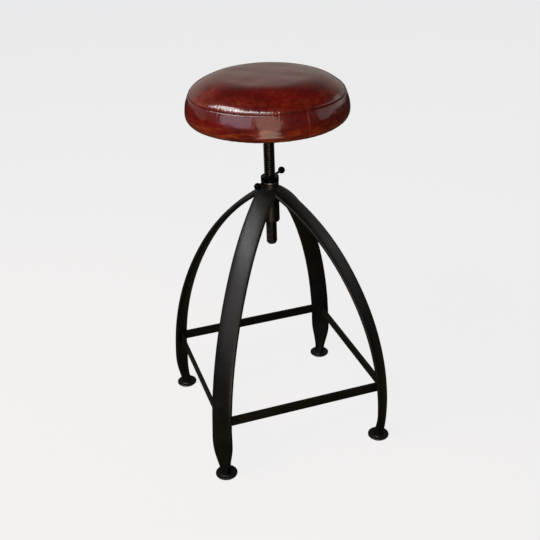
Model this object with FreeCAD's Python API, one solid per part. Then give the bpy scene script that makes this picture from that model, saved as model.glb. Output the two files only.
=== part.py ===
import FreeCAD, Part
import math
import os

# A screw-height machinist stool: four bent oval tube legs welded round a threaded hub,
# flat bar stretchers, round foot discs, a threaded spindle with a lock nut, and a
# leather covered round seat. Millimetres and degrees, Z up, origin on the floor
# under the spindle, stretchers along X and Y, legs on the diagonals.

# Feet
pad_thickness = 2.0
pad_radius = 22.0
pad_edge_bevel = 0.5
disc_radius = 24.2
disc_thickness = 4.0
disc_edge_bevel = 1.2
disc_boss_radius = 15.5
disc_boss_height = 1.2

# Legs, measured from the spindle axis along each diagonal
foot_spread = 264.0
toe_in = 8.0
knee_height = 74.0
arch_height = 584.0
shoulder_angle = 34.0
arch_angle = 58.0
leg_width = 48.0
leg_thickness = 13.0
leg_wall = 1.8
leg_end_diameter = 21.0
swage_length = 82.0
oval_power = 2.5
mitre_gap = 0.3

# Stretchers
stretcher_height = 144.5
stretcher_depth = 22.0
stretcher_thickness = 5.0

# Hub, guide ring and spindle
spindle_diameter = 24.0
spindle_tail = 55.0
spindle_exposed = 122.0
spindle_end_chamfer = 2.6
running_clearance = 0.1
hub_diameter = 38.0
hub_above_arch = 21.0
hub_length = 92.0
hub_end_round = 3.2
ring_wall = 3.8
ring_height = 7.8
ring_clearance = 0.3

# Lock nut, its spring washer and its two tommy arms
washer_thickness = 1.2
washer_inset = 0.6
washer_bore_clearance = 0.5
washer_slit_width = 1.2
washer_slit_angle = 25.0
nut_diameter = 39.0
nut_height = 11.4
nut_chamfer = 0.9
nut_mouth_chamfer = 1.4
arm_diameter = 5.6
arm_reach = 52.5
arm_thread_depth = 4.6
ball_diameter = 15.5
arm_angle = -138.0
drill_clearance = 0.05

# Seat
seat_radius = 170.0
seat_corner_radius = 20.0
seam_inset = 8.0
seam_rise = 58.6
crown_rise = 35.5
crown_shoulder_radius = 26.0
crown_haunch_slope = 38.0
crown_middle_slope = 1.75
leather_thickness = 1.2
foam_clearance = 0.3
board_inset = 13.0
board_thickness = 15.0
board_edge_round = 9.0
hem_width = 24.0
cover_thickness = 0.6
cover_margin = 4.0
plate_radius = 80.0
plate_thickness = 5.0
plate_edge_bevel = 0.8
screw_count = 4
screw_edge_distance = 14.0
screw_diameter = 5.0
screw_length = 17.0
screw_head_diameter = 10.0
screw_head_height = 3.2
screw_head_round = 1.92
screw_slot_width = 1.2
screw_slot_depth = 1.3
staple_count = 20
staple_width = 10.0
staple_wire = 0.8
staple_leg = 7.0

Vector = FreeCAD.Vector
axis_z = Vector(0, 0, 1)
origin = Vector(0, 0, 0)

# Heights that follow from the sizes above, from the floor up
disc_bottom = pad_thickness
disc_top = disc_bottom + disc_thickness
foot_seat = disc_top + disc_boss_height
hub_top = arch_height + hub_above_arch
hub_bottom = hub_top - hub_length
spindle_bottom = hub_bottom - spindle_tail
nut_bottom = hub_top + washer_thickness
nut_top = nut_bottom + nut_height
plate_bottom = nut_top + spindle_exposed
plate_top = plate_bottom + plate_thickness
board_bottom = plate_top + cover_thickness
board_top = board_bottom + board_thickness
seat_bottom = board_bottom - leather_thickness
seam_height = seat_bottom + seam_rise

# Radii and distances that follow from the sizes above
knee_spread = foot_spread + toe_in
hub_radius = hub_diameter / 2
spindle_radius = spindle_diameter / 2
bore_radius = spindle_radius + running_clearance
seam_radius = seat_radius - seam_inset
board_radius = seat_radius - board_inset


def cylinder(radius, low, high):
    return Part.makeCylinder(radius, high - low, Vector(0, 0, low), axis_z)


def turned(points):
    """Solid of revolution about Z from (radius, height) corners joined by straight lines."""
    corners = [Vector(radius, 0, height) for radius, height in points]
    face = Part.Face(Part.makePolygon(corners + corners[:1]))
    return face.revolve(origin, axis_z, 360)


def about_z(shape, angle):
    copy = shape.copy()
    copy.rotate(origin, axis_z, angle)
    return copy


def tube_centre_line():
    """Leg centre line as (distance out, height, lean) stations from below the foot to inside the hub.

    Lean is the tangent's angle from the vertical, towards the spindle. Three tangent arcs
    make the line: foot to knee, knee to shoulder, shoulder to arch top.
    """
    shoulder = math.radians(shoulder_angle)
    arch = math.radians(arch_angle)
    shin = knee_height - disc_top
    foot_arc = (shin ** 2 + toe_in ** 2) / (2 * toe_in)
    reach = knee_spread - hub_radius
    climb = arch_height - knee_height
    reach_main = 1 - math.cos(shoulder)
    reach_arch = math.cos(shoulder) - math.cos(arch)
    climb_main = math.sin(shoulder)
    climb_arch = math.sin(arch) - math.sin(shoulder)
    spread = reach_main * climb_arch - climb_main * reach_arch
    main_arc = (reach * climb_arch - climb * reach_arch) / spread
    arch_arc = (reach_main * climb - climb_main * reach) / spread
    foot_lean = -math.asin(shin / foot_arc)
    past_foot = leg_end_diameter / foot_arc
    past_hub = hub_radius * 0.5 / arch_arc
    stations = []
    for step in range(5):
        lean = (foot_lean - past_foot) * (1 - step / 5)
        out = knee_spread - foot_arc * (1 - math.cos(lean))
        stations.append((out, knee_height + foot_arc * math.sin(lean), lean))
    for step in range(8):
        lean = shoulder * step / 8
        out = knee_spread - main_arc * (1 - math.cos(lean))
        stations.append((out, knee_height + main_arc * math.sin(lean), lean))
    shoulder_out = knee_spread - main_arc * reach_main
    shoulder_up = knee_height + main_arc * climb_main
    for step in range(7):
        lean = shoulder + (arch + past_hub - shoulder) * step / 6
        out = shoulder_out - arch_arc * (math.cos(shoulder) - math.cos(lean))
        up = shoulder_up + arch_arc * (math.sin(lean) - math.sin(shoulder))
        stations.append((out, up, lean))
    return stations


def tube_section(out, up, lean, width, thickness):
    """Closed oval across the leg: flattened tube with full, rounded edges."""
    count = 16
    points = []
    for index in range(count):
        turn = 2 * math.pi * index / count
        across = math.copysign(abs(math.cos(turn)) ** (2 / oval_power), math.cos(turn))
        through = math.copysign(abs(math.sin(turn)) ** (2 / oval_power), math.sin(turn))
        normal = through * thickness / 2
        place = Vector(out + normal * math.cos(lean), across * width / 2, up + normal * math.sin(lean))
        points.append(place)
    curve = Part.BSplineCurve()
    curve.interpolate(Points=points, PeriodicFlag=True)
    return Part.Wire(curve.toShape())


def tube_sections(inset):
    """Sections from foot to hub, smaller all round by inset: round at the foot, then a flat oval."""
    sections = []
    for out, up, lean in tube_centre_line():
        share = min(max((up - disc_top) / swage_length, 0), 1)
        ease = share * share * (3 - 2 * share)
        width = leg_end_diameter + (leg_width - leg_end_diameter) * ease
        thickness = leg_end_diameter + (leg_thickness - leg_end_diameter) * ease
        sections.append(tube_section(out, up, lean, width - 2 * inset, thickness - 2 * inset))
    return sections


def tube():
    """Open-ended tube: outer and inner skins closed by a flat ring at each end."""
    outer = tube_sections(0)
    inner = tube_sections(leg_wall)
    faces = Part.makeLoft(outer, False).Faces + Part.makeLoft(inner, False).Faces
    for end in (0, -1):
        faces.append(Part.makeFace([outer[end], inner[end]], "Part::FaceMakerBullseye"))
    shell = Part.makeShell(faces)
    shell.sewShape()
    solid = Part.Solid(shell)
    if solid.Volume < 0:
        solid.reverse()
    return solid


def leg_trim():
    """Quarter wedge between the mitres, outside the hub and above the foot disc's boss."""
    far = knee_spread + leg_width
    start = mitre_gap / math.sqrt(2)
    side = far - start
    corners = [Vector(start, 0, foot_seat), Vector(far, side, foot_seat), Vector(far, -side, foot_seat)]
    wedge = Part.Face(Part.makePolygon(corners + corners[:1])).extrude(Vector(0, 0, hub_top))
    return wedge.cut(cylinder(hub_radius, 0, hub_top + leg_width))


def foot_disc():
    radius = disc_radius
    bevel = disc_edge_bevel
    return turned([(0, disc_bottom), (radius - bevel / 2, disc_bottom), (radius, disc_bottom + bevel / 2),
                   (radius, disc_top - bevel), (radius - bevel, disc_top),
                   (disc_boss_radius + disc_boss_height, disc_top), (disc_boss_radius, foot_seat),
                   (0, foot_seat)])


def foot_pad():
    bevel = pad_edge_bevel
    return turned([(0, 0), (pad_radius - bevel, 0), (pad_radius, bevel), (pad_radius, pad_thickness),
                   (0, pad_thickness)])


def stretcher(leg_pair):
    """Flat bar on edge along X at the front, its ends coped to the two legs."""
    stations = tube_centre_line()
    above = next(index for index, station in enumerate(stations) if station[1] > stretcher_height)
    low_out, low_up, low_lean = stations[above - 1]
    high_out, high_up, high_lean = stations[above]
    share = (stretcher_height - low_up) / (high_up - low_up)
    half = (low_out + (high_out - low_out) * share) / math.sqrt(2)
    corner = Vector(-half, -half - stretcher_thickness / 2, stretcher_height - stretcher_depth / 2)
    bar = Part.makeBox(2 * half, stretcher_thickness, stretcher_depth, corner)
    for leg in leg_pair:
        bar = bar.cut(leg)
    return bar


def hub_sleeve():
    sleeve = cylinder(hub_radius, hub_bottom, hub_top)
    lower_rim = [edge for edge in sleeve.Edges if edge.Closed and edge.BoundBox.ZMax < hub_bottom + 0.01]
    sleeve = sleeve.makeFillet(min(hub_end_round, hub_radius - bore_radius - 1), lower_rim)
    sleeve = sleeve.cut(cylinder(bore_radius, hub_bottom - 1, hub_top + 1))
    pocket_bottom = hub_top - ring_height - ring_clearance
    return sleeve.cut(cylinder(bore_radius + ring_wall + ring_clearance, pocket_bottom, hub_top + 1))


def guide_ring():
    low = hub_top - ring_height - ring_clearance / 2
    ring = cylinder(bore_radius + ring_wall, low, low + ring_height)
    return ring.cut(cylinder(bore_radius, low - 1, hub_top + 1))


def spring_washer():
    washer = cylinder(hub_radius - washer_inset, hub_top, nut_bottom)
    washer = washer.cut(cylinder(bore_radius + washer_bore_clearance, hub_top - 1, nut_bottom + 1))
    slit = Part.makeBox(hub_diameter, washer_slit_width, 2 * washer_thickness,
                        Vector(0, -washer_slit_width / 2, hub_top - washer_thickness / 2))
    slit.rotate(Vector(hub_radius, 0, hub_top), axis_z, washer_slit_angle)
    return washer.cut(slit)


def radial_rod(radius, start, end):
    """Rod along X at the middle of the nut's height."""
    foot = Vector(start, 0, nut_bottom + nut_height / 2)
    return Part.makeCylinder(radius, end - start, foot, Vector(1, 0, 0))


def lock_nut():
    outer = nut_diameter / 2
    body = turned([(bore_radius, nut_bottom), (outer - nut_chamfer / 2, nut_bottom),
                   (outer, nut_bottom + nut_chamfer / 2), (outer, nut_top - nut_chamfer),
                   (outer - nut_chamfer, nut_top), (bore_radius + nut_mouth_chamfer, nut_top),
                   (bore_radius, nut_top - nut_mouth_chamfer)])
    hole = radial_rod(arm_diameter / 2 + drill_clearance, outer - arm_thread_depth, outer + 1)
    for turn in (0, 180):
        body = body.cut(about_z(hole, arm_angle + turn))
    return body


def lock_arm(angle):
    start = nut_diameter / 2 - arm_thread_depth + drill_clearance
    return about_z(radial_rod(arm_diameter / 2, start, arm_reach), angle)


def ball_knob(angle):
    ball = Part.makeSphere(ball_diameter / 2, Vector(arm_reach, 0, nut_bottom + nut_height / 2))
    inside = arm_reach - ball_diameter
    socket = radial_rod(arm_diameter / 2 + drill_clearance, inside, arm_reach + drill_clearance)
    return about_z(ball.cut(socket), angle)


def spindle():
    chamfer = spindle_end_chamfer
    return turned([(0, spindle_bottom), (spindle_radius - chamfer, spindle_bottom),
                   (spindle_radius, spindle_bottom + chamfer), (spindle_radius, plate_top),
                   (0, plate_top)])


def screw_places():
    radius = plate_radius - screw_edge_distance
    return [(radius, 45 + 360 / screw_count * index) for index in range(screw_count)]


def at_screws(shape):
    placed = []
    for radius, angle in screw_places():
        copy = shape.copy()
        copy.translate(Vector(radius, 0, 0))
        placed.append(about_z(copy, angle))
    return placed


def drilled_for_screws(solid):
    radius = screw_diameter / 2 + drill_clearance
    drill = cylinder(radius, plate_bottom - 1, plate_bottom + screw_length + 1)
    return solid.cut(Part.makeCompound(at_screws(drill)))


def seat_plate():
    bevel = plate_edge_bevel
    disc = turned([(bore_radius, plate_bottom), (plate_radius - bevel, plate_bottom),
                   (plate_radius, plate_bottom + bevel), (plate_radius, plate_top),
                   (bore_radius, plate_top)])
    return drilled_for_screws(disc)


def seat_screws():
    head = cylinder(screw_head_diameter / 2, plate_bottom - screw_head_height, plate_bottom)
    rim = [edge for edge in head.Edges if edge.Closed and edge.BoundBox.ZMax < plate_bottom - 0.01]
    head = head.makeFillet(screw_head_round, rim)
    inside_head = plate_bottom - screw_head_height / 4
    shank = turned([(0, inside_head), (screw_diameter / 2, inside_head),
                    (screw_diameter / 2, plate_bottom + screw_length - screw_diameter / 2),
                    (0, plate_bottom + screw_length)])
    corner = Vector(-screw_head_diameter / 2, -screw_slot_width / 2, plate_bottom - screw_head_height)
    slot = Part.makeBox(screw_head_diameter, screw_slot_width, screw_slot_depth, corner)
    return Part.makeCompound(at_screws(head.fuse(shank).cut(slot)))


def side_arc_and_lean():
    """Radius of the band's side, upright at its widest, and how far it leans in at the seam."""
    bulge = seat_radius - seam_radius
    side = seam_rise - seat_corner_radius
    side_arc = (side ** 2 + bulge ** 2) / (2 * bulge)
    return side_arc, math.asin(side / side_arc)


def side_profile(inset):
    """Band outline as edges from the seat's underside, round the corner and up to the seam."""
    corner = seat_corner_radius
    side_arc, lean = side_arc_and_lean()
    turn_centre = Vector(seat_radius - corner, 0, seat_bottom + corner)
    side_centre = Vector(seat_radius - side_arc, 0, seat_bottom + corner)

    def around(centre, radius, angle):
        return centre + Vector((radius - inset) * math.cos(angle), 0, (radius - inset) * math.sin(angle))

    start, low, widest = (around(turn_centre, corner, math.radians(angle)) for angle in (-90, -45, 0))
    middle = around(side_centre, side_arc, lean / 2)
    top = around(side_centre, side_arc, lean)
    return [Part.Arc(start, low, widest).toShape(), Part.Arc(widest, middle, top).toShape()], start, top


def crown_arcs():
    """(radius, slope at its outer end) of the crown's arcs: in line with the band, then to level."""
    side_arc, lean = side_arc_and_lean()
    seam = math.pi / 2 - lean
    haunch = math.radians(crown_haunch_slope)
    middle = math.radians(crown_middle_slope)
    across = seam_radius - crown_shoulder_radius * (math.sin(seam) - math.sin(haunch))
    rise = crown_rise - crown_shoulder_radius * (math.cos(haunch) - math.cos(seam))
    haunch_across = math.sin(haunch) - math.sin(middle)
    haunch_rise = math.cos(middle) - math.cos(haunch)
    middle_rise = 1 - math.cos(middle)
    spread = haunch_across * middle_rise - haunch_rise * math.sin(middle)
    haunch_radius = (across * middle_rise - rise * math.sin(middle)) / spread
    middle_radius = (haunch_across * rise - haunch_rise * across) / spread
    return [(crown_shoulder_radius, seam), (haunch_radius, haunch), (middle_radius, middle)]


def crown_profile(inset):
    """Crown outline from the seam to the middle as three tangent arcs, nearly flat on top."""
    arcs = crown_arcs()
    slopes = [slope for radius, slope in arcs[1:]] + [0.0]
    out, up = seam_radius, seam_height
    edges = []
    ends = []
    for (radius, slope), next_slope in zip(arcs, slopes):
        centre = Vector(out - radius * math.sin(slope), 0, up - radius * math.cos(slope))
        places = []
        for turn in (slope, (slope + next_slope) / 2, next_slope):
            places.append(centre + Vector(math.sin(turn), 0, math.cos(turn)) * (radius - inset))
        edges.append(Part.Arc(*places).toShape())
        ends += [places[0], places[-1]]
        out = centre.x + radius * math.sin(next_slope)
        up = centre.z + radius * math.cos(next_slope)
    return edges, ends[0], ends[-1]


def line(start, end):
    return Part.LineSegment(start, end).toShape()


def revolved(edges):
    return Part.Face(Part.Wire(edges)).revolve(origin, axis_z, 360)


def leather_band():
    """Side band with its hem turned flat under the board."""
    outer, outer_start, outer_top = side_profile(0)
    inner, inner_start, inner_top = side_profile(leather_thickness)
    hem_end = outer_start - Vector(hem_width, 0, 0)
    hem_top = inner_start - Vector(hem_width, 0, 0)
    edges = [line(hem_end, outer_start)] + outer + [line(outer_top, inner_top)]
    edges += inner + [line(inner_start, hem_top), line(hem_top, hem_end)]
    return revolved(Part.sortEdges(edges)[0])


def leather_top():
    outer, outer_rim, outer_peak = crown_profile(0)
    inner, inner_rim, inner_peak = crown_profile(leather_thickness)
    edges = [line(inner_rim, outer_rim)] + outer + [line(outer_peak, inner_peak)] + inner
    return revolved(Part.sortEdges(edges)[0])


def seat_board():
    board = cylinder(board_radius, board_bottom, board_top)
    lower_rim = [edge for edge in board.Edges if edge.Closed and edge.BoundBox.ZMax < board_bottom + 0.01]
    return drilled_for_screws(board.makeFillet(min(board_edge_round, board_thickness - 1), lower_rim))


def seat_foam():
    """Foam pad over the board and thinly round its edge, just inside the leather."""
    inset = leather_thickness + foam_clearance
    side, side_start, side_top = side_profile(inset)
    crown, crown_rim, crown_peak = crown_profile(inset)
    low = Vector(0, 0, side_start.z)
    edges = side + crown + [line(crown_peak, low), line(low, side_start)]
    return revolved(Part.sortEdges(edges)[0]).cut(cylinder(board_radius, board_bottom - 1, board_top))


def dust_cover():
    """Cloth disc against the board, stepping down over the leather's hem."""
    hem_inner = seat_radius - seat_corner_radius - hem_width
    rim = hem_inner + hem_width - cover_margin
    low = board_bottom - leather_thickness - cover_thickness
    middle = board_bottom - cover_thickness
    return drilled_for_screws(turned([
        (0, middle), (hem_inner - 2 * cover_thickness, middle), (hem_inner - cover_thickness, low),
        (rim, low), (rim, low + cover_thickness), (hem_inner - cover_thickness / 4, low + cover_thickness),
        (hem_inner - cover_thickness, board_bottom), (0, board_bottom)]))


def staple():
    """Wire staple through cloth and hem into the board, at the middle of the hem."""
    centre = seat_radius - seat_corner_radius - hem_width / 2
    low = board_bottom - leather_thickness - cover_thickness - staple_wire
    corner = Vector(centre - staple_wire / 2, -staple_width / 2, low)
    crown = Part.makeBox(staple_wire, staple_width, staple_wire, corner)
    legs = []
    for side in (-staple_width / 2, staple_width / 2 - staple_wire):
        legs.append(Part.makeBox(staple_wire, staple_wire, staple_leg, Vector(corner.x, side, low)))
    return crown.fuse(legs).removeSplitter()


def around_seat(shape):
    return [about_z(shape, 360 / staple_count * (index + 0.5)) for index in range(staple_count)]


def main():
    nodes = {}
    trim = leg_trim()
    leg = tube().common(trim)
    leg_space = Part.makeLoft(tube_sections(0), True)
    corners = {"front_left": -135, "front_right": -45, "rear_right": 45, "rear_left": 135}
    for name, angle in corners.items():
        nodes["leg_" + name] = about_z(leg, angle)
    foot_place = Vector(foot_spread, 0, 0)
    for piece, solid in (("foot_disc", foot_disc()), ("foot_pad", foot_pad())):
        solid.translate(foot_place)
        for name, angle in corners.items():
            nodes[piece + "_" + name] = about_z(solid, angle)
    leg_pair = [about_z(leg_space, corners["front_left"]), about_z(leg_space, corners["front_right"])]
    bar = stretcher(leg_pair)
    for index, side in enumerate(("front", "right", "rear", "left")):
        nodes["stretcher_" + side] = about_z(bar, 90 * index)
    nodes["hub_sleeve"] = hub_sleeve()
    nodes["guide_ring"] = guide_ring()
    nodes["spring_washer"] = spring_washer()
    nodes["lock_nut"] = lock_nut()
    for name, angle in (("front", arm_angle), ("rear", arm_angle + 180)):
        nodes["lock_arm_" + name] = lock_arm(angle)
        nodes["ball_knob_" + name] = ball_knob(angle)
    nodes["spindle"] = spindle()
    nodes["seat_plate"] = seat_plate()
    nodes["seat_screws"] = seat_screws()
    staples = Part.makeCompound(around_seat(staple()))
    nodes["seat_board"] = seat_board().cut(staples)
    nodes["seat_foam"] = seat_foam()
    nodes["leather_top"] = leather_top()
    nodes["leather_band"] = leather_band().cut(staples)
    nodes["dust_cover"] = dust_cover().cut(staples)
    nodes["cover_staples"] = staples
    os.makedirs("parts", exist_ok=True)
    for name, shape in nodes.items():
        shape.exportStep("parts/" + name + ".step")
        volume = round(shape.Volume, 1)
        print(name, "solids", len(shape.Solids), "valid", shape.isValid(), "volume", volume)


main()
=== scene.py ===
import math

import bmesh
import bpy
import numpy as np
from mathutils import Matrix, Vector, noise
from mathutils.bvhtree import BVHTree


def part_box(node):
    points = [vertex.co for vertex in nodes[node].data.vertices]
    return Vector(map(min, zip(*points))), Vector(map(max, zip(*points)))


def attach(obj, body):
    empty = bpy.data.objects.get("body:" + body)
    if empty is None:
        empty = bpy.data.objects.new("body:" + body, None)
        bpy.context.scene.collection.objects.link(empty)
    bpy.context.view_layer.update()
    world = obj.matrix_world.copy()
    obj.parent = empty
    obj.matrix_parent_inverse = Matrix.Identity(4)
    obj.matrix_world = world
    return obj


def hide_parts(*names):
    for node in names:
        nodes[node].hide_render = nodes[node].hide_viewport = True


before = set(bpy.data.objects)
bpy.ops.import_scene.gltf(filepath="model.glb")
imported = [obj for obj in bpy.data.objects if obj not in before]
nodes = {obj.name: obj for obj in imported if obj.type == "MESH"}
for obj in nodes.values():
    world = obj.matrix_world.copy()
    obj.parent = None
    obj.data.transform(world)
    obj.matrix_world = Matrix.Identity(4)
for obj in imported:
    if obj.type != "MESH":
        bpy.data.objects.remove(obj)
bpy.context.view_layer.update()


# Camera. The photograph was taken from above seat height, a little left of the front,
# with a short tele lens about 1.9 m from the stool. The stool's outline gave these
# figures, and the slight roll shares out how far the real stool leans from true.
camera_place = Vector((-0.5099, -1.5607, 1.2640))
camera_target = Vector((-0.0065, 0.0021, 0.3884))
focal_in_pixels = 817.8
photo_width = 540
camera_roll = math.radians(-2.1)
film_width = 36.0


def aim_camera():
    data = bpy.data.cameras.new("camera")
    data.sensor_width = film_width
    data.lens = focal_in_pixels / photo_width * film_width
    data.clip_end = 100.0
    camera = bpy.data.objects.new("camera", data)
    bpy.context.scene.collection.objects.link(camera)
    back = (camera_place - camera_target).normalized()
    level = Vector((0, 0, 1)).cross(back).normalized()
    upright = back.cross(level)
    right = math.cos(camera_roll) * level + math.sin(camera_roll) * upright
    up = math.cos(camera_roll) * upright - math.sin(camera_roll) * level
    turn = Matrix((right, up, back)).transposed().to_4x4()
    camera.matrix_world = Matrix.Translation(camera_place) @ turn
    bpy.context.scene.camera = camera


aim_camera()


# Studio. A pale floor and backdrop. Two lamps high on the left draw the streak along the seat's
# edge. Three low panels and two sloping cards in front are what the glazed leather mirrors:
# cool on the left, warm by the camera, weak on the right, and tan from below.
backdrop_hex = "#efefef"
floor_size = 30.0
floor_drop = 0.0004
floor_glow = 0.825
seat_middle = Vector((0, 0, 0.78))


def linear(hex_colour):
    """sRGB hex to linear RGBA."""
    channels = [int(hex_colour[place:place + 2], 16) / 255 for place in (1, 3, 5)]
    light = [c / 12.92 if c <= 0.04045 else ((c + 0.055) / 1.055) ** 2.4 for c in channels]
    return (*light, 1.0)


def add_node(tree, kind, inputs=None, stops=None, **settings):
    """Adds a node; inputs are linked where they are sockets and set where they are values."""
    made = tree.nodes.new(kind)
    for name, value in settings.items():
        setattr(made, name, value)
    for name, value in (inputs or {}).items():
        if isinstance(value, bpy.types.NodeSocket):
            tree.links.new(value, made.inputs[name])
        else:
            made.inputs[name].default_value = value
    if stops:
        ramp = made.color_ramp
        while len(ramp.elements) < len(stops):
            ramp.elements.new(1.0)
        for element, (place, colour) in zip(ramp.elements, stops):
            element.position = place
            element.color = linear(colour)
    return made


def new_material(name):
    material = bpy.data.materials.new(name)
    material.use_nodes = True
    material.node_tree.nodes.clear()
    return material, material.node_tree


def link_object(name, mesh, materials=()):
    made = bpy.data.objects.new(name, mesh)
    bpy.context.scene.collection.objects.link(made)
    for material in materials:
        mesh.materials.append(material)
    return made


def painted_floor():
    """Matt grey paint that takes the shadow, and the backdrop's pale glow for the camera alone."""
    material, tree = new_material("matt_floor_paint")
    path = add_node(tree, "ShaderNodeLightPath")
    lit = add_node(tree, "ShaderNodeBsdfDiffuse", {"Color": linear("#4d4336"), "Roughness": 0.3})
    seen = add_node(tree, "ShaderNodeMath", {0: path.outputs["Is Camera Ray"], 1: floor_glow},
                    operation="MULTIPLY")
    glow = add_node(tree, "ShaderNodeEmission", {"Color": linear("#fcfdff"), "Strength": seen.outputs[0]})
    both = add_node(tree, "ShaderNodeAddShader", {0: lit.outputs[0], 1: glow.outputs[0]})
    add_node(tree, "ShaderNodeOutputMaterial", {"Surface": both.outputs[0]})
    return material


def studio_air():
    """Dim room light, a band of paler wall low round the room for reflections, and a grey backdrop."""
    world = bpy.data.worlds.new("studio_air")
    world.use_nodes = True
    tree = world.node_tree
    tree.nodes.clear()
    path = add_node(tree, "ShaderNodeLightPath")
    place = add_node(tree, "ShaderNodeTexCoord")
    axes = add_node(tree, "ShaderNodeSeparateXYZ", {"Vector": place.outputs["Generated"]})
    height = add_node(tree, "ShaderNodeMapRange", {"Value": axes.outputs["Z"], "From Min": 0.22,
                      "From Max": 0.72, "To Min": 1.0, "To Max": 0.0}, interpolation_type="SMOOTHSTEP")
    behind = add_node(tree, "ShaderNodeMapRange", {"Value": axes.outputs["Y"], "From Min": -0.2,
                      "From Max": 0.6, "To Min": 0.10, "To Max": 0.40}, interpolation_type="SMOOTHSTEP")
    wall = add_node(tree, "ShaderNodeMath", {0: height.outputs[0], 1: behind.outputs[0]},
                    operation="MULTIPLY")
    wall_glow = add_node(tree, "ShaderNodeMath", {0: wall.outputs[0], 1: 0.03}, operation="ADD")
    room = add_node(tree, "ShaderNodeBackground", {"Color": linear("#e9eaec"), "Strength": 0.16})
    seen = add_node(tree, "ShaderNodeBackground", {"Color": linear(backdrop_hex), "Strength": 1.0})
    mirrored = add_node(tree, "ShaderNodeBackground", {"Color": linear("#f2e9de"),
                                                       "Strength": wall_glow.outputs[0]})
    first = add_node(tree, "ShaderNodeMixShader",
                     {0: path.outputs["Is Glossy Ray"], 1: room.outputs[0], 2: mirrored.outputs[0]})
    second = add_node(tree, "ShaderNodeMixShader",
                      {0: path.outputs["Is Camera Ray"], 1: first.outputs[0], 2: seen.outputs[0]})
    add_node(tree, "ShaderNodeOutputWorld", {"Surface": second.outputs[0]})
    bpy.context.scene.world = world


def direction(azimuth, elevation):
    around = math.radians(azimuth)
    rise = math.radians(elevation)
    return Vector((math.cos(rise) * math.cos(around), math.cos(rise) * math.sin(around), math.sin(rise)))


def area_lamp(name, place, facing, width, height, radiance, tint):
    """Evenly bright rectangle at a place, turned to a facing, with its height towards +Z or +Y."""
    data = bpy.data.lights.new(name, "AREA")
    data.shape = "RECTANGLE"
    data.size = width
    data.size_y = height
    data.energy = radiance * math.pi * width * height
    data.color = linear(tint)[:3]
    lamp = bpy.data.objects.new(name, data)
    bpy.context.scene.collection.objects.link(lamp)
    lamp.matrix_world = Matrix.Translation(place) @ facing.to_matrix().to_4x4()


def soft_box(name, azimuth, elevation, distance, width, height, radiance, tint="#ffffff"):
    """Lamp seen from the seat at an azimuth and elevation, and facing it."""
    toward = direction(azimuth, elevation)
    place = seat_middle + toward * distance
    area_lamp(name, place, toward.to_track_quat("Z", "Y"), width, height, radiance, tint)


def low_card(name, azimuth, near, far, width, radiance, tint):
    """Glowing card facing up at the seat, sloping from a near to a far (distance, height)."""
    ahead = direction(azimuth, 0)
    low, high = (ahead * distance + Vector((0, 0, height)) for distance, height in (near, far))
    along = (high - low).normalized()
    across = Vector((0, 0, 1)).cross(ahead)
    facing = Matrix((across, along, across.cross(along))).transposed().to_quaternion()
    area_lamp(name, (low + high) / 2, facing, width, (high - low).length, radiance, tint)


def lay_floor():
    half = floor_size / 2
    corners = [(-half, -half, 0), (half, -half, 0), (half, half, 0), (-half, half, 0)]
    mesh = bpy.data.meshes.new("floor")
    mesh.from_pydata(corners, [], [(0, 1, 2, 3)])
    floor = link_object("floor", mesh, [painted_floor()])
    floor.location.z = -floor_drop


bpy.context.scene.view_settings.view_transform = "Standard"
studio_air()
lay_floor()
soft_box("window_lamp", 178, 46, 2.6, 1.8, 0.9, 11)
soft_box("strip_lamp", -134, 43, 2.6, 2.4, 0.56, 12)
soft_box("left_panel", -153, 12.5, 2.8, 2.3, 1.6, 2.2, "#f6ecff")
soft_box("front_panel", -108, 10.5, 3.4, 1.9, 1.75, 1.7, "#fffae0")
soft_box("right_panel", -9, 12, 3.0, 3.2, 1.6, 0.7, "#f8f2ee")
low_card("far_card", -109, (1.5, 0.28), (2.6, 0.6), 1.0, 3.6, "#ffe4cc")
low_card("near_card", -109, (0.7, 0.04), (1.5, 0.28), 0.55, 3.6, "#ffe4cc")


# Legs. Four steel tubes rolled flat to an oval, bent over a former and swaged round at the
# foot, welded to the hub, then sprayed satin black and stoved. The sprayed film is faintly
# orange-peeled, slightly glossier where hands and shoes rub it, and brownish where it is thin.
corner_names = ("front_left", "front_right", "rear_right", "rear_left")


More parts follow.
